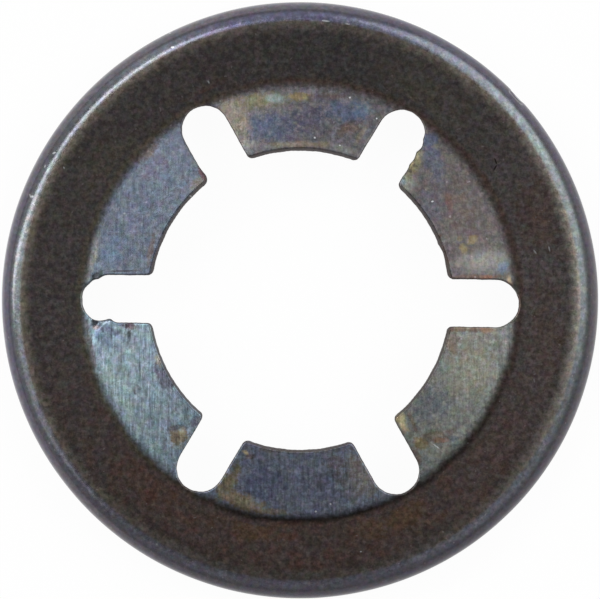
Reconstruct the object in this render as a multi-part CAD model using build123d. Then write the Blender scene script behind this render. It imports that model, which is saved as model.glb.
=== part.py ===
from build123d import *
import math
import os

# Push-on retaining ring for a plain round shaft, stamped and drawn from one spring-steel sheet.
# The origin is at the centre of the circle that the rim stands on. +Z points out of the show
# side, the way that the shaft comes through. Sizes are in millimetres and angles in degrees.

# Sheet
sheet = 0.40

# Rim, drawn down into a short upright wall with a flat ring-shaped edge
outer_diameter = 15.4
crown_height = 1.20
rim_bend_inside = 0.24
rim_edge_bevel = 0.05

# Band, which falls a little towards the middle
band_slope = 4.5

# Lugs, which rise towards the shaft from a circular bend
lug_bend_diameter = 11.12
lug_bend_inside = 0.75
lug_slope = 16.0
lug_corner_round = 0.16

# Grip, a narrow upright land at the lugs' tips, on a circle smaller than the shaft
grip_diameter = 7.70
grip_land = 0.24

# Slots between the lugs, with round outer ends, turned a little from +X as the ring lies
lug_count = 6
slot_width = 1.22
slot_end_diameter = 11.28
slot_turn = -0.87

outer_radius = outer_diameter / 2
grip_radius = grip_diameter / 2
slot_end_radius = slot_end_diameter / 2
rim_bend_outside = rim_bend_inside + sheet

# Cutters along the axis are as tall as the ring is wide, and so reach well past it both ways
cutter_height = outer_diameter

# How far the tip's cut face, square to the sheet, leans outwards through the sheet
tip_lean = sheet * math.sin(math.radians(lug_slope))

# Directions square to each stretch of the show side in section, where X runs outwards and Y up
wall_out = Vector(1, 0)
band_up = Vector(0, 1).rotate(Axis.Z, band_slope)
lug_up = Vector(0, 1).rotate(Axis.Z, -lug_slope)


def under_corner(corner, side_before, side_after, depth):
    """The point below a corner of the show side where the same two stretches meet at a depth."""
    return corner - (side_before + side_after) * (depth / (1 + side_before.dot(side_after)))


def on_band(radius):
    """Point at a radius on the band's show side, which runs straight out of the rim's bend."""
    bend_centre = Vector(outer_radius - rim_bend_outside, crown_height - rim_bend_outside)
    bend_end = bend_centre + band_up * rim_bend_outside
    return Vector(radius, bend_end.Y + (radius - bend_end.X) * math.tan(math.radians(band_slope)))


def sheet_side(depth):
    """One side of the sheet in section, from rim edge to lug tip, at a depth below the show side."""
    rim_corner = on_band(outer_radius)
    lug_corner = on_band(lug_bend_diameter / 2)
    slope = math.radians(lug_slope)
    land_depth = grip_land * math.sin(slope) * math.cos(slope)
    lug_run = lug_corner.X - (grip_radius - land_depth + tip_lean)
    tip = lug_corner + Vector(-1, math.tan(slope)) * lug_run
    points = [
        Vector(outer_radius - depth, 0),
        under_corner(rim_corner, wall_out, band_up, depth),
        under_corner(lug_corner, band_up, lug_up, depth),
        tip - lug_up * depth,
    ]
    return FilletPolyline(*points, radius=[rim_bend_outside - depth, lug_bend_inside + depth])


def sheet_section():
    """The sheet in section, with the tip cut square to the sheet and the rim's edge bevelled."""
    show_side = sheet_side(0)
    back_side = sheet_side(sheet)
    rim_edge = Line(show_side @ 0, back_side @ 0)
    tip_edge = Line(show_side @ 1, back_side @ 1)
    section = make_face([show_side, back_side, rim_edge, tip_edge])
    return chamfer(section.vertices().group_by(Axis.Y)[0], rim_edge_bevel)


def opening_cutter():
    """Upright cutter for the grip circle and the slots, with the lugs' corners rounded in plan."""
    end_centre = slot_end_radius - slot_width / 2
    slot = Rectangle(end_centre, slot_width, align=(Align.MIN, Align.CENTER))
    slot += Pos(end_centre, 0) * Circle(slot_width / 2)
    slots = [Rot(0, 0, slot_turn + n * 360 / lug_count) * slot for n in range(lug_count)]
    opening = Circle(grip_radius) + slots
    lug_corners = opening.vertices().sort_by_distance((0, 0, 0))[:2 * lug_count]
    return extrude(fillet(lug_corners, lug_corner_round), cutter_height / 2, both=True)


retaining_ring = revolve(Plane.XZ * sheet_section(), Axis.Z) - opening_cutter()
os.makedirs("parts", exist_ok=True)
export_step(retaining_ring, "parts/retaining_ring.step")
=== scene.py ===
import math
import bpy
import numpy as np
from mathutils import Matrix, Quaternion, Vector
from mathutils.geometry import delaunay_2d_cdt


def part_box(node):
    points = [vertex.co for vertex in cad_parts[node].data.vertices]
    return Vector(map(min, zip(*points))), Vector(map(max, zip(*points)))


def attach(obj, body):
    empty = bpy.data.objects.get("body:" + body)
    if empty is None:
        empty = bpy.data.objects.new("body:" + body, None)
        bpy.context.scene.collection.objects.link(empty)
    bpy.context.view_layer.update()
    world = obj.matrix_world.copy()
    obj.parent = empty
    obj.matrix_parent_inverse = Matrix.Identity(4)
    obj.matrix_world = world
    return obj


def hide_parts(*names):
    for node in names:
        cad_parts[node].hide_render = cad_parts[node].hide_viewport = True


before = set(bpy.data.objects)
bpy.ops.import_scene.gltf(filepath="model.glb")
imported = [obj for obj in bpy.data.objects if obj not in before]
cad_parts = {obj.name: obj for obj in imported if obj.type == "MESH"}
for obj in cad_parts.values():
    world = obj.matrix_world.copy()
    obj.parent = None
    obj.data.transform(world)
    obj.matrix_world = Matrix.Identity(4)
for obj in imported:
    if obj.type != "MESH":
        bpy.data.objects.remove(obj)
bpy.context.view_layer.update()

# Metres in a millimetre
METRES = 0.001

# The ring's own sizes, in millimetres and radians. The outer radius comes from the frame.
ring_low, ring_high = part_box("retaining_ring")
outer_radius = (ring_high[0] - ring_low[0]) / 2 / METRES
sheet = 0.4
crown_height = 1.2
rim_bend = 0.64
rim_edge_round = 0.05
band_slope = math.radians(4.5)
lug_bend_radius = 5.56
lug_bend = 0.75
lug_slope = math.radians(16.0)
lug_corner_round = 0.16
grip_radius = 3.85
grip_land = 0.24
slot_half = 1.22 / 2
slot_end_radius = 5.64
slot_turn = math.radians(-0.87)

# Plan centre of the rounding of a lug's corner, for a slot along +X
corner_y = slot_half + lug_corner_round
corner_x = math.sqrt((grip_radius + lug_corner_round) ** 2 - corner_y ** 2)

# The photo's frame and its outline of the ring, in pixels, and a pixel's size in millimetres
frame_width, frame_height = 600, 599
outline_centre = (300.05, 300.3)
outline_radius = 298.4
pixel = outer_radius / outline_radius

# The drawn sheet rolls into the rim's bend over a softer first stretch
soft_bend = 1.6
soft_bend_end = math.radians(10.0)

# How far each slot lies off its even place, in degrees, from the first slot anticlockwise
slot_drifts = (-0.09, -0.41, -0.16, 0.4, 0.14, 0.11)

# Damage at the opening's edge: plan place, reach along the edge, and how far the metal stands proud
# of the true outline, or with a minus sign is missing from it
edge_flaws = (
    (-5.21, 0.59, 0.13, 0.072),
    (-5.44, 0.46, 0.17, 0.055),
    (-5.6, 0.03, 0.25, 0.03),
    (-4.9, -0.54, 0.11, 0.095),
    (-5.08, -0.56, 0.12, 0.045),
    (-2.47, 3.19, 0.17, 0.048),
    (3.2, 4.17, 0.09, 0.034),
    (3.12, 3.95, 0.06, -0.03),
    (3.04, 3.79, 0.06, 0.034),
    (2.93, 3.62, 0.05, -0.022),
    (2.84, 3.49, 0.05, 0.02),
    (2.77, 3.32, 0.05, -0.014),
    (2.68, 3.14, 0.05, 0.014),
    (3.56, 1.46, 0.05, 0.02),
    (3.66, 1.16, 0.22, -0.03),
    (-3.75, -0.61, 0.1, -0.016),
    (3.74, -0.64, 0.12, 0.012),
)

# Hollows pressed into the show side: plan place, radius and depth
dents = (
    (-5.22, -0.6, 0.085, 0.05),
    (-4.4, -0.66, 0.11, 0.026),
    (-5.27, 0.62, 0.07, 0.018),
    (5.05, 3.45, 0.07, 0.014),
    (1.27, 5.17, 0.05, 0.014),
    (-2.36, 5.25, 0.045, 0.012),
)

# A flap of metal rolled over beside the left slot: plan centre, radius, rise and softness of its edge
flap_centre = (-4.83, -0.95)
flap_radius = 0.44
flap_rise = 0.024
flap_softness = 0.015

# The flap fades in between these two places, counted in Y from its centre
flap_fade = (-0.25, 0.1)

# A knock on the rim: its angle, half width along the rim, depth on the bend and depth down the wall
knock_angle = math.radians(43.1)
knock_half_width = 0.245
knock_depth = 0.05
knock_wall_depth = 0.016

# Where the knock starts and is full: at its soft and its sharp end, in half widths, and in its bruise
# and the ledge below it, in shares of the bend
knock_soft_end = (-1.1, -0.6)
knock_sharp_end = (1.1, 0.9)
knock_bruise = (0.6, 0.72)
knock_ledge = (0.82, 0.94)

# Slow waves of the drawn sheet: height, number round the ring, phase, and its turn along the section
sheet_waves = (
    (0.002, 3, 0.7, 0.0),
    (0.0016, 5, -1.1, 0.8),
    (0.0011, 11, 2.3, -1.1),
    (0.0007, 23, 0.4, 1.9),
)

# Roughness of the cut edge: height of each wave and its radians for each millimetre along X and Y
cut_waves = ((0.003, 9, 5), (0.0025, -17, 23), (0.002, 51, 37))

# Small roll of the show side where the punch went in
die_roll = 0.045

# The mesh's steps round the rim and, over some half widths, at the knock; along the opening's outline
# with points on its corners and arcs; rounds of its easing; and rows in the table of radii
round_steps = 480
knock_steps = 36
knock_span = 2.2
outline_step = 0.028
corner_points = 16
arc_points = 80
corner_easing = 8
table_steps = 4000

# A grid covers the metal out to the joining circle. Fine spots are plan places with radii, and gaps
# are clear widths at its borders, in grid steps. Edges over the sharp angle aren't smoothed.
join_radius = 5.9
grid_step = 0.078
fine_step = 0.032
fine_spots = ((-4.85, -0.8, 0.66), (-5.25, 0.6, 0.22))
outline_gap = 0.6
circle_gap = 0.7
spot_gap = 0.5
grid_start = 1.3 * die_roll
same_point = 1e-7
sharp_angle = math.radians(40)

# Rows at the opening's and the rim's edge, over band, soft bend, bend and wall, and back beneath
roll_rows, cut_rows, edge_rows = 4, 2, 4
out_rows = (10, 11, 39, 5)
back_rows = (4, 13, 11)


class Section:
    """The show side in section, walked outwards from a lug's tip down to the rim's lower edge."""

    def __init__(self):
        rim_centre = np.array([outer_radius - rim_bend, crown_height - rim_bend])
        band_up = np.array([-math.sin(band_slope), math.cos(band_slope)])
        soft_up = np.array([math.sin(soft_bend_end), math.cos(soft_bend_end)])
        band_end = rim_centre + band_up * rim_bend
        corner_z = band_end[1] + (lug_bend_radius - band_end[0]) * math.tan(band_slope)

        # The soft stretch starts further in on the same band, so the rest of the bend drops a little
        soft_start = rim_centre + soft_up * (rim_bend - soft_bend) + band_up * soft_bend
        band_z = corner_z + (soft_start[0] - lug_bend_radius) * math.tan(band_slope)
        wall_height = rim_centre[1] - (soft_start[1] - band_z)
        land_depth = grip_land * math.sin(lug_slope) * math.cos(lug_slope)
        tip_radius = grip_radius - land_depth + sheet * math.sin(lug_slope)
        tangent = lug_bend * math.tan((lug_slope + band_slope) / 2)
        lug_length = (lug_bend_radius - tip_radius) / math.cos(lug_slope)
        band_length = (soft_start[0] - lug_bend_radius) / math.cos(band_slope)
        tip_z = corner_z + lug_length * math.sin(lug_slope)
        rest_turn = math.pi / 2 - soft_bend_end
        self.lengths = np.array([
            lug_length - tangent,
            lug_bend * (lug_slope + band_slope),
            band_length - tangent,
            soft_bend * (soft_bend_end + band_slope),
            rim_bend * rest_turn,
            wall_height,
        ])
        self.turns = np.array([
            0.0, -(lug_slope + band_slope), 0.0, soft_bend_end + band_slope, rest_turn, 0.0])
        self.starts = np.concatenate([[0.0], np.cumsum(self.lengths)])
        self.tip = (tip_radius, tip_z)
        self.soft_start, self.rim_bend_start, self.rim_bend_end, self.end = self.starts[3:7]

    def at(self, along):
        """Radius, height and outward lean of the show side at a distance from the tip."""
        along = np.asarray(along, float)
        radius, height = self.tip
        lean = lug_slope
        found = np.zeros(along.shape + (3,))
        for start, length, turn in zip(self.starts, self.lengths, self.turns):
            step = np.clip(along - start, 0, length)
            here = self.stretch(radius, height, lean, step, turn / length)
            inside = along >= start
            found[inside] = np.stack(here, -1)[inside]
            radius, height, lean = self.stretch(radius, height, lean, length, turn / length)
        return found

    @staticmethod
    def stretch(radius, height, lean, step, bend):
        """Radius, height and lean after a step along a straight or evenly bent stretch."""
        if not bend:
            return radius + np.cos(lean) * step, height - np.sin(lean) * step, lean + 0 * step
        after = lean + bend * step
        out = radius + (np.sin(after) - math.sin(lean)) / bend
        return out, height + (np.cos(after) - math.cos(lean)) / bend, after

    def along_at(self, radius):
        """Distance from the tip at which the show side has a radius, inside the rim's bend."""
        table = np.linspace(0, self.rim_bend_start, table_steps)
        return np.interp(radius, self.at(table)[:, 0], table)


section = Section()


def rising(value, start, end):
    """Share of the way from a start to an end, kept between 0 and 1."""
    return np.clip((value - start) / (end - start), 0, 1)


def mound(x, y, middle_x, middle_y, radius):
    """A round hump of height 1 at a plan place."""
    return np.exp(-((x - middle_x) ** 2 + (y - middle_y) ** 2) / radius ** 2)


def unevenness(angle, along):
    """How far the sheet lies below its true form, so deep that no wave rises above it."""
    return sum(height * (1 + np.sin(number * angle + phase + drift * along))
               for height, number, phase, drift in sheet_waves)


def pressed(x, y):
    """Depth of the dents at plan places, less the rise of the rolled flap."""
    depth = sum(deepest * mound(x, y, *place) for *place, deepest in dents)
    from_edge = np.hypot(x - flap_centre[0], y - flap_centre[1]) - flap_radius
    inside = (1 - np.tanh(from_edge / (2 * flap_softness))) / 2
    return depth - flap_rise * inside * rising(y - flap_centre[1], *flap_fade)


def knock(angle, along):
    """Depth of the knock on the rim: a bruise on the bend's shoulder with a ledge below it."""
    turn = (angle - knock_angle + math.pi) % math.tau - math.pi
    place = turn * outer_radius / knock_half_width
    reach = rising(place, *knock_soft_end) * rising(place, *knock_sharp_end)
    share = rising(along, section.rim_bend_start, section.rim_bend_end)
    bruise = knock_depth * rising(share, *knock_bruise)
    ledge = (knock_depth - knock_wall_depth) * rising(share, *knock_ledge)
    return reach * (bruise - ledge)


def round_axis(radius, angle):
    """Plan points at a radius and angles round the origin."""
    return np.stack([radius * np.cos(angle), radius * np.sin(angle)], -1)


def sheet_point(angle, along, depth):
    """Space points at angles, distances out from the tip and depths below the show side."""
    radius, height, lean = section.at(along).T
    dented = pressed(*round_axis(radius, angle).T)
    below = depth + unevenness(angle, along) + dented + knock(angle, along)
    plan = round_axis(radius - below * np.sin(lean), angle)
    return np.column_stack([plan, height - below * np.cos(lean)])


def lift(plan, depth):
    """Space points for plan points, at a depth below the show side. Inside the tips' circle the slope
    of the lugs goes on."""
    x, y = plan.T
    radius = np.hypot(x, y)
    along = section.along_at(radius)
    points = sheet_point(np.arctan2(y, x), along, 0)
    short = np.maximum(section.tip[0] - radius, 0)
    points[:, :2] *= (1 - short / section.tip[0])[:, None]
    points[:, 2] += short * math.tan(lug_slope) - depth / np.cos(section.at(along)[:, 2])
    return points


def pushed_out(path, radius):
    """The plan path with every point that lies inside a radius moved straight out to it."""
    return path * np.maximum(radius / np.hypot(*path.T), 1)[:, None]


def opening_outline():
    """Closed plan outline of the grip circle and the slots, in even steps anticlockwise."""
    pitch = math.tau / len(slot_drifts)
    slots = [slot_turn + n * pitch + math.radians(drift) for n, drift in enumerate(slot_drifts)]
    pieces = []
    for slot_angle, next_slot in zip(slots, slots[1:] + [slots[0] + math.tau]):
        pieces += [slot_path(slot_angle), tip_path(slot_angle, next_slot)]
    return flawed(even_steps(np.concatenate(pieces), outline_step))


def slot_path(slot_angle):
    """From the corner before a slot, out round its end and back to the corner after it."""
    start, quarter = math.atan2(corner_y, -corner_x), math.pi / 2
    corner = round_axis(lug_corner_round, np.linspace(start, quarter, corner_points))
    corner += [corner_x, -corner_y]
    end = round_axis(slot_half, np.linspace(-quarter, quarter, arc_points))
    end += [slot_end_radius - slot_half, 0]
    path = np.concatenate([corner, end, corner[::-1] * [1, -1]])
    c, s = math.cos(slot_angle), math.sin(slot_angle)
    return path @ np.array([[c, s], [-s, c]])


def tip_path(slot_angle, next_slot):
    """Along a lug's tip between the roundings of its two corners."""
    edge = math.atan2(corner_y, corner_x)
    angles = np.linspace(slot_angle + edge, next_slot - edge, arc_points)[1:-1]
    return round_axis(grip_radius, angles)


def even_steps(path, step):
    """The same closed path with points a step apart."""
    closed = np.concatenate([path, path[:1]])
    run = np.concatenate([[0], np.cumsum(np.hypot(*np.diff(closed, axis=0).T))])
    count = int(round(run[-1] / step))
    at = np.linspace(0, run[-1], count + 1)[:-1]
    return np.stack([np.interp(at, run, side) for side in closed.T], -1)


def flawed(path):
    """The outline with its damage and a slight roughness of the cut."""
    into = normals_into_metal(path)
    x, y = path.T
    proud = sum(height * np.sin(turn_x * x + turn_y * y) for height, turn_x, turn_y in cut_waves)
    proud = proud + sum(height * mound(x, y, *place) for *place, height in edge_flaws)
    return path - into * proud[:, None]


def eased(path):
    """The closed path with its sharp corners eased over a few points."""
    for _ in range(corner_easing):
        path = (np.roll(path, 1, axis=0) + 2 * path + np.roll(path, -1, axis=0)) / 4
    return path


def normals_into_metal(path):
    """Unit plan vectors from the opening's outline into the metal."""
    tangent = np.roll(path, -1, axis=0) - np.roll(path, 1, axis=0)
    tangent /= np.hypot(*tangent.T)[:, None]
    return np.stack([tangent[:, 1], -tangent[:, 0]], -1)


def placed(name, data):
    """A new object in the scene, with its mesh, light or camera."""
    made = bpy.data.objects.new(name, data)
    bpy.context.scene.collection.objects.link(made)
    return made


class Mesh:
    """Points, faces and surface marks gathered for one mesh."""

    def __init__(self):
        self.points = []
        self.marks = {"inset": [], "cut": [], "back": []}
        self.faces = []

    def add(self, points, inset=1.0, cut=0.0, back=0.0):
        """Adds points with their distance from the opening's edge and their kind of face."""
        first = sum(map(len, self.points))
        self.points.append(np.asarray(points, float))
        for name, value in (("inset", inset), ("cut", cut), ("back", back)):
            self.marks[name].append(np.broadcast_to(value, len(points)))
        return first + np.arange(len(points))

    def strip(self, row, next_row):
        """Quads between two closed rows of one length, facing the way that the rows' order gives."""
        row_on, next_on = np.roll(row, -1), np.roll(next_row, -1)
        self.faces += np.stack([row, next_row, next_on, row_on], -1).tolist()

    def build(self, name):
        """An object of that name, with the gathered points, faces and marks."""
        mesh = bpy.data.meshes.new(name)
        mesh.from_pydata((np.concatenate(self.points) * METRES).tolist(), [], self.faces)
        for mark, values in self.marks.items():
            carried = mesh.attributes.new(mark, "FLOAT", "POINT")
            carried.data.foreach_set("value", np.concatenate(values))
        mesh.polygons.foreach_set("use_smooth", [True] * len(mesh.polygons))
        mesh.update()
        return placed(name, mesh)


def disc_points(loop, centre, radius, step, gap):
    """Plan points over the metal in a disc, clear of its border, in rows set off by half a step."""
    rows = np.arange(centre[1] - radius, centre[1] + radius, step * math.sqrt(3) / 2)
    x, y = np.meshgrid(np.arange(centre[0] - radius, centre[0] + radius, step), rows)
    x = x + 0.5 * step * (np.arange(len(rows)) % 2)[:, None]
    points = np.stack([x.ravel(), y.ravel()], -1)
    points = points[np.hypot(*(points - centre).T) < radius - gap * step]
    points = points[np.hypot(*points.T) < join_radius - circle_gap * grid_step]
    return points[clear_of(points, loop, outline_gap * step)]


def grid_points(loop):
    """Plan points over the metal inside the joining circle, closer together at the damaged places."""
    coarse = disc_points(loop, np.zeros(2), join_radius, grid_step, circle_gap)
    groups = []
    for x, y, radius in fine_spots:
        centre = np.array([x, y])
        coarse = coarse[np.hypot(*(coarse - centre).T) > radius]
        groups.append(disc_points(loop, centre, radius, fine_step, spot_gap))
    return np.concatenate([coarse] + groups)


def inner_grid(loop, circle):
    """Plan points from the inner loop to the joining circle, and the triangles over the metal."""
    points = np.concatenate([loop, circle, grid_points(loop)])
    borders = ((0, len(loop)), (len(loop), len(circle)))
    edges = [(first + n, first + (n + 1) % count) for first, count in borders for n in range(count)]
    corners = [Vector(point) for point in points]
    found, _, triangles, *_ = delaunay_2d_cdt(corners, edges, [], 0, same_point)
    assert len(found) == len(points)
    triangles = np.array(triangles)
    middles = points[triangles].mean(axis=1)
    keep = in_metal(middles, loop) & (np.hypot(*middles.T) < join_radius)
    return points, triangles[keep]


def in_metal(points, loop):
    """True for the points outside the opening's loop, by counting crossings."""
    x, y = points.T
    inside = np.zeros(len(points), bool)
    for (x0, y0), (x1, y1) in zip(loop, np.roll(loop, -1, axis=0)):
        if y0 != y1:
            crosses = (y0 > y) != (y1 > y)
            inside ^= crosses & (x < (x1 - x0) * (y - y0) / (y1 - y0) + x0)
    return ~inside


def distance_to(points, loop):
    """Distance of each plan point from the nearest point of the loop."""
    nearest = np.full(len(points), np.inf)
    for x, y in loop:
        np.minimum(nearest, np.hypot(points[:, 0] - x, points[:, 1] - y), out=nearest)
    return nearest


def clear_of(points, loop, gap):
    """True for the points in the metal and at least a gap from the loop."""
    return in_metal(points, loop) & (distance_to(points, loop) > gap)


def round_angles():
    """Angles of the rim's steps, with more of them at the knock."""
    even = np.arange(round_steps) * math.tau / round_steps
    reach = knock_span * knock_half_width / outer_radius
    kept = even[np.abs(even - knock_angle) > reach]
    extra = np.linspace(knock_angle - reach, knock_angle + reach, knock_steps)
    return np.sort(np.concatenate([kept, extra]))


def make_ring():
    """The whole sheet as one closed mesh: show side, roll, cut wall, underside and rim."""
    mesh = Mesh()
    foot = opening_outline()
    outline = eased(pushed_out(foot, section.tip[0]))
    into = normals_into_metal(outline)
    angles = round_angles()

    # Lugs and band out to the joining circle, and the same triangles on the underside
    loop = outline + into * grid_start
    circle = round_axis(join_radius, angles)
    plan, triangles = inner_grid(loop, circle)
    inset = np.minimum(distance_to(plan, outline), 1.0)
    show = mesh.add(lift(plan, 0), inset=inset)
    under = mesh.add(lift(plan, sheet), inset=inset, back=1)
    mesh.faces += show[triangles].tolist()
    mesh.faces += under[triangles][:, ::-1].tolist()

    # Opening, from the show side's loop over the roll and the cut wall to the underside's
    loop_rows = slice(len(loop))
    last = add_roll(mesh, show[loop_rows], outline, into)
    last = add_cut_wall(mesh, last, outline, foot)
    mesh.strip(under[loop_rows], last)

    # Rim, from the show side's circle round to the underside's
    circle_rows = slice(len(loop), len(loop) + len(angles))
    last = show[circle_rows]
    for along, depth, cut, back in rim_rows():
        points = sheet_point(angles, np.full(len(angles), along), depth)
        row = mesh.add(points, cut=cut, back=back)
        mesh.strip(last, row)
        last = row
    mesh.strip(last, under[circle_rows])
    return mesh.build("ring_sheet")


def add_roll(mesh, last, outline, into):
    """Rows over the small roll at the opening's edge. Returns the last of them."""
    for turn in np.linspace(0, math.pi / 2, roll_rows):
        gap = die_roll * (1 - math.sin(turn))
        depth = die_roll * (1 - math.cos(turn))
        row = mesh.add(lift(outline + into * gap, depth), inset=gap)
        mesh.strip(row, last)
        last = row
    return last


def add_cut_wall(mesh, last, outline, foot):
    """Rows down the cut wall. At the tips it leans in, square to the sheet, as far as the grip circle.
    From there down, and all the way down in the slots, it is upright. Returns the last row."""
    drop = np.hypot(*(outline - foot).T) / math.tan(lug_slope)
    lean_end = lift(foot, sheet)
    lean_end[:, 2] = lift(outline, 0)[:, 2] - np.maximum(drop, 2 * die_roll)
    stops = (lift(outline, die_roll), lean_end, lift(foot, sheet))
    for upper, lower in zip(stops, stops[1:]):
        for share in steps(0, 1, cut_rows):
            row = mesh.add(upper + (lower - upper) * share, inset=0, cut=1)
            mesh.strip(row, last)
            last = row
    return last


def steps(start, end, count):
    """Even steps to an end, without the start."""
    return np.linspace(start, end, count + 1)[1:]


def stretches(stops, counts):
    """Even steps along several stretches between stops, without the first stop."""
    return np.concatenate([steps(*stretch) for stretch in zip(stops, stops[1:], counts)])


def rim_rows():
    """Distance from the tip, depth, and cut and back marks of each row round the rim."""
    join = float(section.along_at(join_radius))
    wall_end = section.end - rim_edge_round
    bend_start, bend_end = section.rim_bend_start, section.rim_bend_end
    out = stretches((join, section.soft_start, bend_start, bend_end, wall_end), out_rows)
    rows = [(along, 0, 0, 0) for along in out]
    for turn in steps(0, math.pi / 2, edge_rows):
        along = wall_end + rim_edge_round * math.sin(turn)
        rows.append((along, rim_edge_round * (1 - math.cos(turn)), 1, 0))
    for turn in np.linspace(0, math.pi / 2, edge_rows + 1):
        along = wall_end + rim_edge_round * math.cos(turn)
        rows.append((along, sheet - rim_edge_round * (1 - math.sin(turn)), 1, 0))
    back = stretches((wall_end, bend_end, bend_start, join), back_rows)[:-1]
    return rows + [(along, sheet, 0, 1) for along in back]


ring = make_ring()
ring.data.set_sharp_from_angle(angle=sharp_angle)
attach(ring, "root")
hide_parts("retaining_ring")


# Plain-word colours of the oxide and its stains, and of the painted highlights, reflections and shade on
# the rim, halo, wall and crease, as 0 to 255 display values
TONES = {
    "brown_black": (92, 88, 87), "warm_brown": (97, 91, 90), "warm_grey": (107, 101, 100),
    "red_brown": (94, 83, 80), "rust": (114, 82, 70), "dark_cut": (86, 78, 76), "soot_and_shade": (52, 46, 44),
    "tan": (146, 134, 112), "olive": (122, 116, 90), "ochre": (148, 132, 86), "straw": (190, 180, 142),
    "pale_grey": (146, 146, 142), "pale_cyan": (146, 166, 166), "grey": (116, 112, 106),
    "slate": (86, 92, 110), "blue": (84, 98, 126), "bright_blue": (98, 120, 144),
    "deep_blue": (86, 92, 120), "indigo": (80, 78, 104), "plum": (98, 92, 112), "brown": (106, 86, 74),
    "patina": (116, 92, 70), "orange": (146, 100, 76), "dark_red": (92, 56, 54), "pink": (205, 170, 160),
    "lilac": (150, 142, 150), "white": (255, 255, 255), "pale_bright": (215, 218, 222),
    "rim_grey": (94, 99, 100), "rim_cyan": (119, 126, 127), "rim_mid": (114, 119, 121),
    "rim_dull": (106, 108, 113), "rim_pale": (121, 124, 132), "rim_violet": (101, 100, 120),
    "rim_shade": (90, 89, 97), "rim_dark": (98, 97, 106), "halo_brown": (116, 109, 101),
    "halo_pale": (150, 145, 137), "halo_dark": (104, 97, 93), "crease_brown": (100, 85, 79),
    "crease_dark": (64, 56, 53), "crease_olive": (108, 102, 90), "wall_grey": (108, 104, 111),
    "wall_violet": (98, 95, 108), "wall_pale": (94, 90, 96), "wall_dark": (76, 73, 80),
    "underside": (84, 80, 80),
}

# The colour on each lug, anticlockwise from the upper right: its oxide, with painted light, each lug
# made paler or darker after how it catches the lamps; how strongly the rolling grain shows there, with
# the rim's last;
# and the grain's stretch along X, Y and Z
lug_tones = (
    (92, 88, 88), (104, 102, 106), (93, 100, 112), (143, 160, 172), (115, 121, 137), (124, 127, 123),
)
lug_grain = (0.5, 0.7, 0.8, 1.7, 1.5, 0.8, 0.0)
grain_stretch = (16.0, 1.5, 4.0)
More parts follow.
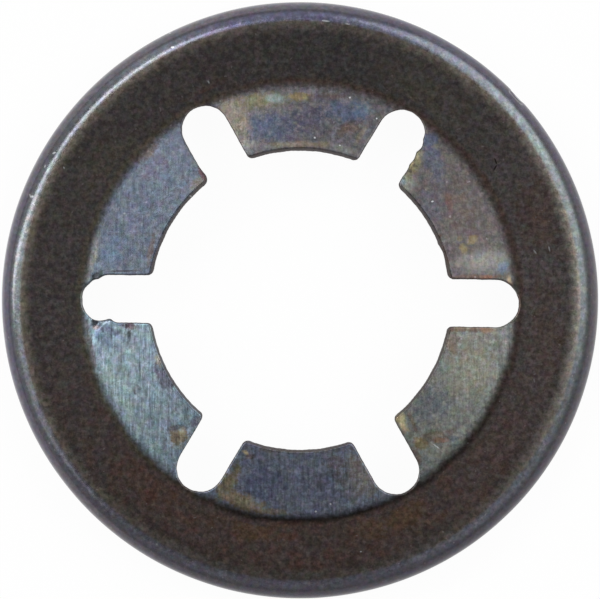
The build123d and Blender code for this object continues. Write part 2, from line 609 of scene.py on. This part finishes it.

# Stains, with painted shade and a painted highlight among them: place in the photo's pixels, half sizes
# in pixels, turn in degrees, tone and strength
stains = (
    # Top lug
    (236, 117, 30, 13, -60, "tan", 0.5),
    (262, 101, 26, 8, 6, "olive", 0.8),
    (301, 97, 16, 5, 0, "ochre", 0.6),
    (275, 99, 10, 5, 0, "pale_cyan", 0.6),
    (315, 98, 9, 5, 0, "indigo", 0.5),
    (333, 97, 14, 4, -5, "brown", 0.45),
    (247, 144, 9, 6, 0, "pale_grey", 0.6),
    (273, 128, 27, 16, 4, "slate", 0.9),
    (262, 122, 12, 7, 10, "blue", 0.25),
    (288, 140, 9, 7, 30, "plum", 0.5),
    (311, 120, 17, 15, 0, "indigo", 0.45),
    (344, 112, 22, 11, -8, "blue", 0.6),
    (363, 111, 10, 9, 0, "bright_blue", 0.5),
    (349, 129, 14, 6, 20, "brown", 0.55),
    (362, 134, 13, 3, 57, "tan", 0.4),
    (342, 150, 18, 5, -15, "pale_grey", 0.45),
    # Painted highlight along the top lug's tip, where the die roll catches the light, on a paler worn
    # edge
    (300, 145, 36, 3.5, 0, "tan", 0.55),
    # Upper right lug
    (405, 184, 13, 11, 30, "pale_grey", 0.6),
    (402, 180, 5, 5, 0, "pale_cyan", 0.6),
    (403, 179, 2.2, 2.2, 0, "soot_and_shade", 0.45),
    (414, 164, 17, 8, 58, "olive", 0.75),
    (418, 155, 6, 4, 58, "straw", 0.55),
    (411, 164, 4, 3, 58, "straw", 0.45),
    (414, 166, 2.5, 2.5, 0, "soot_and_shade", 0.6),
    (410, 171, 2, 2, 0, "soot_and_shade", 0.5),
    (432, 160, 12, 26, 22, "slate", 0.6),
    (430, 140, 9, 7, 30, "blue", 0.42),
    (432, 205, 20, 14, -50, "slate", 0.32),
    (458, 208, 18, 26, 20, "brown", 0.24),
    (449, 203, 4, 9, 10, "rust", 0.35),
    (472, 240, 7, 4, 15, "ochre", 0.46),
    (463, 249, 4, 6, 20, "ochre", 0.48),
    (459, 239, 4, 3, 0, "ochre", 0.22),
    (484, 261, 30, 12, 5, "pale_grey", 0.48),
    (503, 268, 6, 6, 0, "bright_blue", 0.45),
    (509, 280, 4, 6, 0, "tan", 0.7),
    (476, 277, 24, 2.5, 0, "brown", 0.6),
    (486, 277, 8, 2, 0, "orange", 0.35),
    (444, 262, 4, 22, 12, "brown", 0.5),
    # Lower right lug
    (466, 329, 26, 3.0, 0, "brown", 0.75),
    (487, 330, 7, 3, 0, "orange", 0.45),
    (452, 343, 9, 13, 0, "brown", 0.5),
    (477, 348, 26, 14, 0, "grey", 0.55),
    (470, 374, 24, 30, -20, "straw", 0.15),
    (430, 404, 18, 22, -40, "slate", 0.42),
    (418, 384, 9, 12, -40, "slate", 0.34),
    (401, 421, 5, 13, 25, "straw", 0.85),
    (412, 421, 2.5, 14, 20, "brown", 0.6),
    (434, 436, 20, 6, 12, "brown", 0.5),
    (441, 440, 8, 3, -6, "orange", 0.5),
    (420, 443, 11, 5, -40, "ochre", 0.5),
    (416, 455, 4, 10, 25, "brown", 0.6),
    (454, 439, 5, 5, 0, "blue", 0.45),
    # Bottom lug
    (262, 483, 22, 22, 0, "deep_blue", 0.45),
    (228, 484, 8, 22, -28, "olive", 0.9),
    (232, 480, 5, 14, -28, "tan", 0.5),
    (222, 488, 9, 7, -40, "grey", 0.6),
    (243, 502, 28, 9, -24, "tan", 0.95),
    (272, 511, 22, 3, -6, "tan", 0.55),
    (360, 474, 10, 28, 28, "tan", 0.42),
    (350, 484, 12, 20, 28, "grey", 0.45),
    (337, 463, 14, 10, 0, "brown", 0.35),
    (298, 449, 44, 4, 0, "grey", 0.65),
    (246, 452, 4, 2.2, -30, "straw", 0.85),
    (250, 456, 5, 3, 0, "brown", 0.55),
    (322, 487, 18, 15, 0, "indigo", 0.35),
    # Lower left lug
    (105, 340, 10, 16, 12, "bright_blue", 0.55),
    (118, 380, 13, 40, 18, "pale_cyan", 0.5),
    (133, 415, 7, 62, 32, "pale_cyan", 0.45),
    (91, 345, 2.6, 26, 12, "lilac", 0.6),
    (165, 376, 9, 15, 32, "plum", 0.65),
    (159, 360, 3, 6, 25, "straw", 0.45),
    (136, 390, 5, 5, 0, "plum", 0.4),
    (178, 436, 11, 10, 20, "tan", 0.95),
    (177, 427, 7, 3, 20, "plum", 0.6),
    (183, 431, 5, 4, 20, "straw", 0.5),
    (197, 419, 5, 12, -45, "plum", 0.6),
    (112, 331, 11, 5, 0, "indigo", 0.5),
    (97, 327, 4, 2.2, 10, "pink", 0.4),
    # Painted shade in the recesses on both sides of the rolled flap, dark red on its right
    (95.5, 321, 4, 5, -30, "soot_and_shade", 0.72),
    (129, 326, 8, 5, -25, "dark_red", 0.7),
    (113, 323, 13, 6, 12, "slate", 0.42),
    # Upper left lug
    (112, 252, 12, 18, -15, "bright_blue", 0.35),
    (148, 152, 16, 7, 45, "brown", 0.5),
    (154, 168, 17, 10, 45, "plum", 0.5),
    (198, 186, 8, 10, 40, "grey", 0.75),
    (203, 175, 3, 8, 30, "dark_red", 0.62),
    (94, 253, 4.5, 28, -14, "pale_grey", 0.55),
    (97, 276, 10, 3.2, 33, "soot_and_shade", 0.62),
    (88, 278, 4, 5, 0, "pale_grey", 0.45),
    (151, 252, 3, 16, -12, "brown", 0.5),
    (140, 215, 12, 26, -38, "slate", 0.35),
    # Band
    (405, 517, 26, 12, 35, "patina", 0.6),
    (372, 528, 14, 12, 0, "patina", 0.5),
    (255, 531, 26, 9, -12, "patina", 0.55),
    (290, 536, 10, 5, 0, "rust", 0.5),
    (150, 480, 40, 22, -45, "rust", 0.22),
    (500, 440, 30, 44, -40, "rust", 0.18),
    (540, 215, 26, 40, 10, "rust", 0.3),
    (545, 330, 20, 60, 0, "rust", 0.22),
    (205, 92, 22, 8, 30, "rust", 0.3),
    (110, 165, 24, 40, -40, "olive", 0.18),
    (420, 95, 50, 24, -30, "olive", 0.16),
)

# Bright specks, hairline scratches and, with a minus sign, dark marks, with the knock's painted
# highlight
# and shade among them: ends in the photo's pixels, width in pixels and strength
scratches = (
    (349, 98, 350.5, 98, 1.1, 0.9),
    (314, 138, 315.5, 138.5, 1.1, 0.9),
    (376, 119, 377, 119, 1.0, 0.9),
    (339, 146, 340.5, 146, 0.9, 0.7),
    (208, 81, 209.5, 84, 1.0, 0.6),
    (533, 250, 536, 254, 1.0, 0.5),
    (548, 246, 549.5, 252, 0.9, 0.5),
    (432, 443, 440, 449, 0.7, 0.6),
    (330, 503, 331, 504, 1.0, 0.7),
    (315, 511, 316.5, 511, 1.2, 0.9),
    (360, 551, 361.5, 551, 0.9, 0.7),
    (190, 196, 192, 197, 0.9, 0.5),
    (64, 167, 65, 169, 0.9, 0.6),
    (31, 197, 34, 196.5, 1.3, 0.8),
    (30, 194, 31.5, 198, 0.9, 0.6),
    (45, 168, 46, 165, 0.9, 0.6),
    (53, 154, 56, 152.5, 1.2, 0.8),
    (171, 48, 174.5, 47.5, 1.2, 0.8),
    (169, 33, 170.5, 33.5, 0.9, 0.6),
    (321, 21, 330, 22, 1.1, 0.5),
    (345, 24, 350, 25, 1.1, 0.4),
    (455, 303, 462, 301, 0.6, 0.3),
    (175, 470, 188, 477, 0.6, 0.3),
    # The knock: a painted highlight on its upturned facet, and beside it painted shade in its groove
    (513.2, 92.6, 522.6, 103, 1.3, 0.6),
    (511.3, 93.5, 519.5, 103, 0.9, -0.5),
    (494, 158, 496.5, 165, 1.1, -0.9),
    (496.5, 165, 493, 171, 1.1, -0.9),
    (106, 271.4, 142, 270.8, 1.2, -0.6),
    (431, 202, 433, 201.5, 1.0, 0.6),
    (430, 210, 438, 213, 0.8, -0.4),
    (281, 421, 279, 428, 0.8, 0.3),
)

# Round the ring, as (degrees, tone) stops that close on the first: the band and its rust, the crease
# between band and lugs with painted shade, the halo inside the rim's bend with a painted highlight, the
# bend itself with its painted highlight, and the wall with painted reflection and shade
band_tones = (
    (0, "warm_grey"), (30, "warm_grey"), (70, "brown_black"), (130, "warm_brown"), (190, "warm_brown"),
    (235, "red_brown"), (290, "red_brown"),
)
rust_by_angle = (
    (0, "grey"), (40, "grey"), (80, "soot_and_shade"), (185, "soot_and_shade"), (225, "white"), (300, "white"),
)
# Painted shade: the crease tones darken the bend between band and lugs, darkest from the bottom to the
# lower right, over brown and olive oxide tints
crease_tones = (
    (0, "crease_brown"), (90, "crease_brown"), (150, "crease_olive"), (210, "crease_olive"),
    (255, "soot_and_shade"), (285, "soot_and_shade"), (320, "crease_dark"),
)
# Painted highlight: the halo paints the inner fringe of the rim's highlight over a brown oxide tint,
# palest at the right and darker at the top and lower right
halo_tones = (
    (0, "halo_pale"), (40, "halo_brown"), (100, "halo_dark"), (140, "halo_brown"), (190, "halo_brown"),
    (250, "halo_dark"), (310, "halo_dark"),
)
# Painted highlight: the bend's tones set how bright its highlight shows at each angle, over cyan and
# violet oxide tints, brightest towards the right and upper left and dimmest at the lower left
rim_tones = (
    (0, "rim_grey"), (32, "rim_cyan"), (85, "rim_violet"), (104, "rim_violet"), (124, "rim_pale"),
    (148, "rim_dull"), (174, "rim_mid"), (212, "rim_shade"), (240, "rim_dark"), (300, "rim_dark"),
)
# Painted reflection and shade: the wall's tones are palest towards the upper left and darkest at the
# bottom, over violet oxide tints
wall_tones = (
    (0, "wall_pale"), (60, "wall_violet"), (110, "wall_grey"), (140, "wall_grey"), (185, "wall_violet"),
    (225, "wall_pale"), (250, "wall_dark"), (300, "wall_dark"),
)

# Share of the way between two slots, to each side, over which a lug keeps its own colour and painted
# light
lug_even_share = 0.33

# Radii at which each zone starts and is full. The mottling moves the inner borders.
crease_zone = (5.84, 5.66)
lug_zone = (5.7, 5.46)
halo_zone = (6.88, 7.1)
rim_zone = (7.16, 7.26)
wall_zone = (7.4, 7.52)
border_wander = 0.22

# Rust on the band: the mottling at which it starts and is full, and its strength there
rust_levels = (0.44, 0.68, 0.0, 0.5)

# Textures in the colour: from and to a texture's value, and the colour's levels there, or for the
# pale dots their cover. Hues are red, green and blue: how far the texture moves them, and the least.
fleck_levels = (0.25, 0.75, 0.68, 1.34)
cloud_levels = (0.28, 0.72, 0.84, 1.2)
vein_levels = (0.00, 0.04, 0.84, 1.02)
dot_levels = (0.81, 0.86, 0.00, 0.16)
hue_spread = (0.6, 0.46, 0.6)
least_hue = (0.7, 0.77, 0.7)

# The drawn rim is smoother than the band: radii, and the share of the textures that is left in its
# colour and in its relief
smooth_colour = (7.3, 7.46, 1.0, 0.5)
smooth_relief = (7.14, 7.26, 1.0, 0.55)

# The wall's foot is painted paler, a painted reflection, most of all on the side facing the lamps, which
# is also where the rim is worn smoother, in radians round the ring
lit_and_worn_side = math.radians(150)
foot_zone = (7.58, 7.68)
foot_level = 1.2
lit_foot_level = 0.1

# Distance from the cut edge within which the oxide darkens, its unevenness and its cover
dark_edge = (0.035, 0.0)
dark_edge_wander = 0.03
dark_cover = 0.8

# Roughness on the band, and what the lugs, the cut edges, the specks and the rim's polish add to it,
# the radii where the polish starts and is full, and the relief's depth in millimetres
band_roughness = 0.34
lug_roughness = 0.02
cut_roughness = 0.25
speckle_roughness = 0.16
rim_roughness = -0.09
worn_roughness = -0.06
polish_zone = (7.12, 7.3)
relief_depth = 0.004

# Reach at which a stain and a scratch start and are full, in half sizes, and how torn a stain's edge is
stain_edge = (1.28, 0.42)
scratch_edge = (1.0, 0.5)
tear_reach = 2.3
speckle_reach = 0.8
even_reach = -1.55


def plain_colour(tone):
    """A tone, by its name or its display values, as a linear colour."""
    values = TONES[tone] if isinstance(tone, str) else tone
    shares = [value / 255 for value in values]
    linear = [s / 12.92 if s <= 0.04045 else ((s + 0.055) / 1.055) ** 2.4 for s in shares]
    return tuple(linear) + (1.0,)


def photo_place(x, y):
    """A pixel of the photo as a plan place in millimetres."""
    return (x - outline_centre[0]) * pixel, (outline_centre[1] - y) * pixel


class Paint:
    """Short forms for the nodes of a material or world. Each adds a node and returns its output."""

    def __init__(self, owner):
        owner.use_nodes = True
        self.tree = owner.node_tree

    def feed(self, socket, value):
        """Links another node's output to a socket, or sets the socket to a plain value."""
        if isinstance(value, bpy.types.NodeSocket):
            self.tree.links.new(value, socket)
        elif value is not None:
            socket.default_value = value

    def node(self, kind, *values, output=0, **settings):
        made = self.tree.nodes.new(kind)
        for name, value in settings.items():
            setattr(made, name, value)
        for socket, value in zip(made.inputs, values):
            self.feed(socket, value)
        return made.outputs[output]

    def math(self, operation, *values):
        return self.node("ShaderNodeMath", *values, operation=operation)

    def vector(self, operation, *values, output=0):
        return self.node("ShaderNodeVectorMath", *values, operation=operation, output=output)

    def ease(self, value, low, high, to_low=0.0, to_high=1.0):
        """A smooth step of the value from one level to another."""
        return self.node("ShaderNodeMapRange", value, low, high, to_low, to_high,
                         interpolation_type="SMOOTHSTEP")

    def mix(self, share, first, second):
        made = self.tree.nodes.new("ShaderNodeMix")
        made.data_type = "RGBA"
        for place, value in zip((0, 6, 7), (share, first, second)):
            self.feed(made.inputs[place], value)
        return made.outputs[2]

    def noise(self, place, scale, detail=2.0, roughness=0.5, colour=False):
        made = self.tree.nodes.new("ShaderNodeTexNoise")
        settings = {"Vector": place, "Scale": scale, "Detail": detail, "Roughness": roughness}
        for name, value in settings.items():
            self.feed(made.inputs[name], value)
        return made.outputs["Color" if colour else "Fac"]

    def mark(self, name):
        """A number that the mesh carries at each point."""
        return self.node("ShaderNodeAttribute", attribute_name=name, attribute_type="GEOMETRY", output=2)

    def around(self, place, x, y, half_x, half_y, turn):
        """Distance from a plan place, counted in half sizes along and across a turned direction."""
        turn_x, turn_y = math.cos(math.radians(turn)) / pixel, math.sin(math.radians(turn)) / pixel
        along = (turn_x / half_x, turn_y / half_x, 0.0)
        across = (-turn_y / half_y, turn_x / half_y, 0.0)
        away = self.vector("SUBTRACT", place, photo_place(x, y) + (0.0,))
        u = self.vector("DOT_PRODUCT", away, along, output=1)
        v = self.vector("DOT_PRODUCT", away, across, output=1)
        return self.math("SQRT", self.math("MULTIPLY_ADD", u, u, self.math("MULTIPLY", v, v)))


def by_angle(paint, turn_share, stops):
    """A colour that changes round the ring, from (degrees, tone) stops that close on the first."""
    made = paint.tree.nodes.new("ShaderNodeValToRGB")
    ramp = made.color_ramp
    for degrees, _ in stops[1:]:
        ramp.elements.new(degrees / 360)
    for element, (degrees, tone) in zip(ramp.elements, (*stops, (360, stops[0][1]))):
        element.position = degrees / 360
        element.color = plain_colour(tone)
    paint.feed(made.inputs[0], turn_share)
    return made.outputs[0]


def lug_stops():
    """Even colour and painted light over each lug, blending across the slots."""
    pitch = 360 / len(lug_tones)
    half = lug_even_share * pitch
    middles = [math.degrees(slot_turn) + (n + 0.5) * pitch for n in range(len(lug_tones))]
    between = tuple((a + b) / 2 for a, b in zip(lug_tones[0], lug_tones[-1]))
    stops = [(0, between)]
    for middle, tone in zip(middles, lug_tones):
        stops += [(middle - half, tone), (middle + half, tone)]
    return stops


def sector(x, y):
    """The number of the lug at a plan place, counted anticlockwise, or the rim's number after them."""
    if math.hypot(x, y) > join_radius:
        return len(lug_tones)
    return int((math.atan2(y, x) - slot_turn) % math.tau / math.tau * len(lug_tones))


def stained(paint, colour, surface):
    """The colour with one sector's stains laid over it, painted shade and highlight among them, with
    ragged edges.
    """
    for x, y, half_x, half_y, turn, tone, strength in stains:
        if sector(*photo_place(x, y)) != surface.number:
            continue
        reach = paint.around(surface.flat, x, y, half_x, half_y, turn)
        torn = paint.math("ADD", reach, surface.ragged)
        cover = paint.ease(torn, *stain_edge, to_high=strength)
        colour = paint.mix(cover, colour, plain_colour(tone))
    return colour


def scratched(paint, colour, surface):
    """The colour with one sector's bright specks, hairline scratches and dark marks, the knock's painted
    highlight and shade among them.
    """
    for x0, y0, x1, y1, width, strength in scratches:
        if sector(*photo_place(x0, y0)) != surface.number:
            continue
        half_length = (math.hypot(x1 - x0, y1 - y0) + width) / 2
        turn = math.degrees(math.atan2(y0 - y1, x1 - x0))
        reach = paint.around(surface.flat, (x0 + x1) / 2, (y0 + y1) / 2, half_length, width, turn)
        cover = paint.ease(reach, *scratch_edge, to_high=abs(strength))
        tone = "pale_bright" if strength > 0 else "soot_and_shade"
        colour = paint.mix(cover, colour, plain_colour(tone))
    return colour


class Surface:
    """What the colour, gloss and relief of one sector all follow: places, textures and zones."""

    def __init__(self, paint, number):
        self.number = number
        self.find_places(paint)
        self.add_textures(paint)
        self.find_zones(paint)

    def find_places(self, paint):
        """Places in millimetres, and the radius and the angle round the ring."""
        where = paint.node("ShaderNodeTexCoord", output=3)
        self.place = paint.vector("MULTIPLY", where, (1 / METRES,) * 3)
        self.flat = paint.vector("MULTIPLY", self.place, (1.0, 1.0, 0.0))
        self.radius = paint.vector("LENGTH", self.flat, output=1)
        split = paint.tree.nodes.new("ShaderNodeSeparateXYZ")
        paint.feed(split.inputs[0], self.flat)
        self.angle = paint.math("ARCTAN2", split.outputs[1], split.outputs[0])
        turns = paint.math("DIVIDE", self.angle, math.tau)
        self.turn_share = paint.math("FRACT", paint.math("ADD", turns, 1.0))
        # Nearness to the side that faces the lamps and is worn smoother: it steers the painted paler
        # foot and the rim's polish
        self.toward_lit_and_worn = paint.math("COSINE", paint.math("ADD", self.angle, -lit_and_worn_side))

    def add_textures(self, paint):
        """Slow mottling, fine speckle, hues, dots, the strip's grain and torn edges for the stains."""
        self.mottle = paint.noise(self.place, scale=1.7, detail=5.0, roughness=0.68)
        self.speckle = paint.noise(self.place, scale=9.0, detail=3.0, roughness=0.7)
        self.hues = paint.noise(self.place, scale=5.5, detail=2.0, roughness=0.6, colour=True)
        self.dots = paint.noise(self.place, scale=11.0, detail=0.0)
        self.tear = paint.noise(self.place, scale=5.0, detail=4.0, roughness=0.7)
        stretched = paint.vector("MULTIPLY", self.place, grain_stretch)
        self.grain = paint.noise(stretched, scale=1.0, detail=3.0, roughness=0.6)
        ragged = paint.math("MULTIPLY_ADD", self.tear, tear_reach, even_reach)
        self.ragged = paint.math("MULTIPLY_ADD", self.speckle, speckle_reach, ragged)

    def find_zones(self, paint):
        """How far each zone, from the crease to the wall, covers the band."""
        wander = paint.math("MULTIPLY_ADD", self.mottle, border_wander, -border_wander / 2)
        torn_radius = paint.math("ADD", self.radius, wander)
        self.on_crease = paint.ease(torn_radius, *crease_zone)
        self.on_lug = paint.ease(torn_radius, *lug_zone)
        self.on_halo = paint.ease(torn_radius, *halo_zone)
        self.on_rim = paint.ease(self.radius, *rim_zone)
        self.on_wall = paint.ease(self.radius, *wall_zone)
        self.relief_share = paint.ease(self.radius, *smooth_relief)
        self.grain_depth = paint.math("MULTIPLY", self.on_lug, lug_grain[self.number])
        wander = paint.math("MULTIPLY_ADD", self.speckle, dark_edge_wander, -dark_edge_wander / 2)
        torn_inset = paint.math("ADD", paint.mark("inset"), wander)
        near_edge = paint.ease(torn_inset, *dark_edge)
        self.dark = paint.math("MAXIMUM", near_edge, paint.mark("cut"))


def oxide(paint, surface):
    """The colours round the ring with their stains: the band's oxide, then each zone over it, with
    painted light on the lugs, painted shade in the crease, and painted highlight, reflection and shade
    on the halo, rim and wall.
    """
    def tones(stops):
        return by_angle(paint, surface.turn_share, stops)

    rusting = paint.ease(surface.mottle, *rust_levels)
    rust_share = paint.math("MULTIPLY", rusting, tones(rust_by_angle))
    band = paint.mix(rust_share, tones(band_tones), plain_colour("rust"))
    lug = tones(lug_stops())
    if surface.number < len(lug_tones):
        lug = stained(paint, lug, surface)
    else:
        band = stained(paint, band, surface)
    colour = paint.mix(surface.on_crease, band, tones(crease_tones))
    colour = paint.mix(surface.on_lug, colour, lug)
    colour = paint.mix(surface.on_halo, colour, tones(halo_tones))
    colour = paint.mix(surface.on_rim, colour, tones(rim_tones))
    return paint.mix(surface.on_wall, colour, tones(wall_tones))


def weathered_with_lit_foot(paint, surface, colour):
    """The colour with its grain, flecks, clouds, veins, shifting hue and pale dots, and with the wall's
    foot painted paler as a painted reflection.
    """
    no_grain = paint.math("MULTIPLY_ADD", surface.grain_depth, -0.5, 1.0)
    grained = paint.math("MULTIPLY_ADD", surface.grain, surface.grain_depth, no_grain)
    from_vein = paint.math("ABSOLUTE", paint.math("ADD", surface.tear, -0.5))
    veined = paint.math("MULTIPLY", grained, paint.ease(from_vein, *vein_levels))
    fleck = paint.ease(surface.speckle, *fleck_levels)
    clouded = paint.math("MULTIPLY", fleck, paint.ease(surface.tear, *cloud_levels))
    change = paint.math("ADD", paint.math("MULTIPLY", veined, clouded), -1.0)
    share = paint.ease(surface.radius, *smooth_colour)
    level = paint.math("MULTIPLY_ADD", change, share, 1.0)

    # Painted reflection: the wall's foot is made paler, most of all on the side facing the lamps
    at_foot = paint.math("MULTIPLY_ADD", surface.toward_lit_and_worn, lit_foot_level, foot_level)
    level = paint.math("MULTIPLY", level, paint.ease(surface.radius, *foot_zone, 1.0, at_foot))
    colour = paint.vector("SCALE", colour, None, None, level)
    hue = paint.vector("MULTIPLY_ADD", surface.hues, hue_spread, least_hue)
    colour = paint.vector("MULTIPLY", colour, hue)
    return paint.mix(paint.ease(surface.dots, *dot_levels), colour, plain_colour("pale_bright"))


def edged(paint, surface, colour):
    """The colour with a plain underside and dark cut edges."""
    colour = paint.mix(paint.mark("back"), colour, plain_colour("underside"))
    cover = paint.math("MULTIPLY", surface.dark, dark_cover)
    return paint.mix(cover, colour, plain_colour("dark_cut"))


def roughness(paint, surface):
    """Dull on the band and at the cut edges, and smooth where the rim was drawn and rubbed."""
    polish = paint.math("MULTIPLY_ADD", surface.toward_lit_and_worn, worn_roughness, rim_roughness)
    on_bend = paint.ease(surface.radius, *polish_zone)
    rough = paint.math("MULTIPLY_ADD", on_bend, polish, band_roughness)
    rough = paint.math("MULTIPLY_ADD", surface.on_lug, lug_roughness, rough)
    rough = paint.math("MULTIPLY_ADD", surface.dark, cut_roughness, rough)
    specks = paint.math("MULTIPLY", paint.math("ADD", surface.speckle, -0.5), surface.relief_share)
    return paint.math("MULTIPLY_ADD", specks, speckle_roughness, rough)


def relief(paint, surface):
    """Fine speckle everywhere and the strip's grain on the lugs, as a bump."""
    grain = paint.math("MULTIPLY", surface.grain, surface.grain_depth)
    bump = paint.tree.nodes.new("ShaderNodeBump")
    bump.inputs["Strength"].default_value = 1.0
    bump.inputs["Distance"].default_value = relief_depth * METRES
    height = paint.math("MULTIPLY_ADD", surface.speckle, surface.relief_share, grain)
    paint.feed(bump.inputs["Height"], height)
    return bump.outputs["Normal"]


def blued_steel(number):
    """Spring steel with its black and blue heat oxide, worn, stained and speckled, with painted
    highlights, reflections and shade in its colour, for one sector.
    """
    material = bpy.data.materials.new(f"blued_spring_steel_{number}")
    paint = Paint(material)
    surface = Surface(paint, number)
    colour = weathered_with_lit_foot(paint, surface, oxide(paint, surface))
    colour = scratched(paint, edged(paint, surface, colour), surface)
    shader = paint.tree.nodes["Principled BSDF"].inputs
    paint.feed(shader["Base Color"], colour)
    paint.feed(shader["Roughness"], roughness(paint, surface))
    paint.feed(shader["Normal"], relief(paint, surface))
    shader["Metallic"].default_value = 1.0
    return material


def dress(piece):
    """Gives each lug's sector and the rim their own stains and painted marks, on one and the same steel.
    """
    mesh = piece.data
    for number in range(len(lug_tones) + 1):
        mesh.materials.append(blued_steel(number))
    middles = np.empty(3 * len(mesh.polygons))
    mesh.polygons.foreach_get("center", middles)
    numbers = [sector(x / METRES, y / METRES) for x, y, z in middles.reshape(-1, 3)]
    mesh.polygons.foreach_set("material_index", numbers)


dress(ring)

# Soft boxes, at one distance in metres: azimuth, angle off the vertical, spread round the vertical
# and across it as the ring sees them, and roll, all in degrees, and radiance
light_distance = 0.45
soft_boxes = {
    "left_strip": (150, 46, 80, 12, -30, 3.8),
    "left_box": (190, 42, 66, 24, -30, 1.1),
    "left_low": (170, 72, 100, 22, 0, 0.25),
    "right_box": (36, 50, 84, 38, -24, 1.6),
    "right_fill": (-24, 44, 66, 34, 0, 0.5),
    "low_fill": (270, 42, 80, 20, 0, 0.14),
    "top_fill": (102, 52, 56, 44, 0, 0.42),
}


def soft_box(name, azimuth, lean, spread, rise, roll, radiance):
    """A flat soft box that faces the ring."""
    azimuth, lean = math.radians(azimuth), math.radians(lean)
    data = bpy.data.lights.new(name, "AREA")
    data.shape = "RECTANGLE"
    flat = light_distance * math.sin(lean)
    data.size = 2 * flat * math.tan(math.radians(spread / 2))
    data.size_y = 2 * light_distance * math.tan(math.radians(rise / 2))
    data.energy = radiance * math.pi * data.size * data.size_y
    light = placed(name, data)
    place = Vector((flat * math.cos(azimuth), flat * math.sin(azimuth), light_distance * math.cos(lean)))
    light.location = place
    facing = (-place).to_track_quat("-Z", "Y")
    light.rotation_euler = (facing @ Quaternion((0, 0, 1), math.radians(roll))).to_euler()
    light.visible_camera = False


for box_name, box in soft_boxes.items():
    soft_box(box_name, *box)

# The room's light: from and to a height, 0 at the horizon and 1 overhead, and its levels there
room_levels = (0.55, 0.98, 0.5, 0.17)


def studio():
    """A dim room: darkest overhead, where the camera stands, and paler towards the horizon."""
    world = bpy.data.worlds.new("studio")
    bpy.context.scene.world = world
    paint = Paint(world)
    height = paint.node("ShaderNodeSeparateXYZ", paint.node("ShaderNodeTexCoord"), output=2)
    background = paint.tree.nodes["Background"].inputs
    background["Color"].default_value = (1, 1, 1, 1)
    paint.feed(background["Strength"], paint.ease(height, *room_levels))


studio()

# The floor's paper, the share of plain white that the camera and the metal see in its place, and the
# floor's half size and drop, in metres
paper_level = 0.93
white_share = 0.96
floor_half = 3.0
floor_drop = 0.00002


def white_floor():
    """White to the eye and in reflections, with the ring's shadow kept faint."""
    material = bpy.data.materials.new("white_floor")
    paint = Paint(material)
    nodes = paint.tree.nodes
    nodes.remove(nodes["Principled BSDF"])
    rays = nodes.new("ShaderNodeLightPath").outputs
    seen = paint.math("MAXIMUM", rays["Is Camera Ray"], rays["Is Glossy Ray"])
    share = paint.math("MULTIPLY", seen, white_share)
    paper = paint.node("ShaderNodeBsdfDiffuse", (paper_level,) * 3 + (1,))
    floor_shader = paint.node("ShaderNodeMixShader", share, paper, paint.node("ShaderNodeEmission"))
    paint.feed(nodes["Material Output"].inputs["Surface"], floor_shader)
    return material


def floor():
    """One wide flat sheet, set just under the ring."""
    mesh = bpy.data.meshes.new("floor")
    signs = ((-1, -1), (1, -1), (1, 1), (-1, 1))
    corners = [(x * floor_half, y * floor_half, 0) for x, y in signs]
    mesh.from_pydata(corners, [], [(0, 1, 2, 3)])
    plane = placed("floor", mesh)
    plane.location.z = -floor_drop
    mesh.materials.append(white_floor())
    return plane


floor()

# Camera: straight above, with the outline's widest height at the photo's scale
camera_data = bpy.data.cameras.new("camera")
camera = placed("camera", camera_data)
bpy.context.scene.camera = camera
camera_data.sensor_width = 36
camera_data.lens = 600
camera_data.clip_start, camera_data.clip_end = 0.01, 10
distance = pixel * frame_width * camera_data.lens / camera_data.sensor_width
outline_height = crown_height - rim_bend
middle = photo_place(frame_width / 2, frame_height / 2)
camera.location = Vector(middle + (outline_height + distance,)) * METRES

bpy.context.scene.view_settings.view_transform = "Standard"
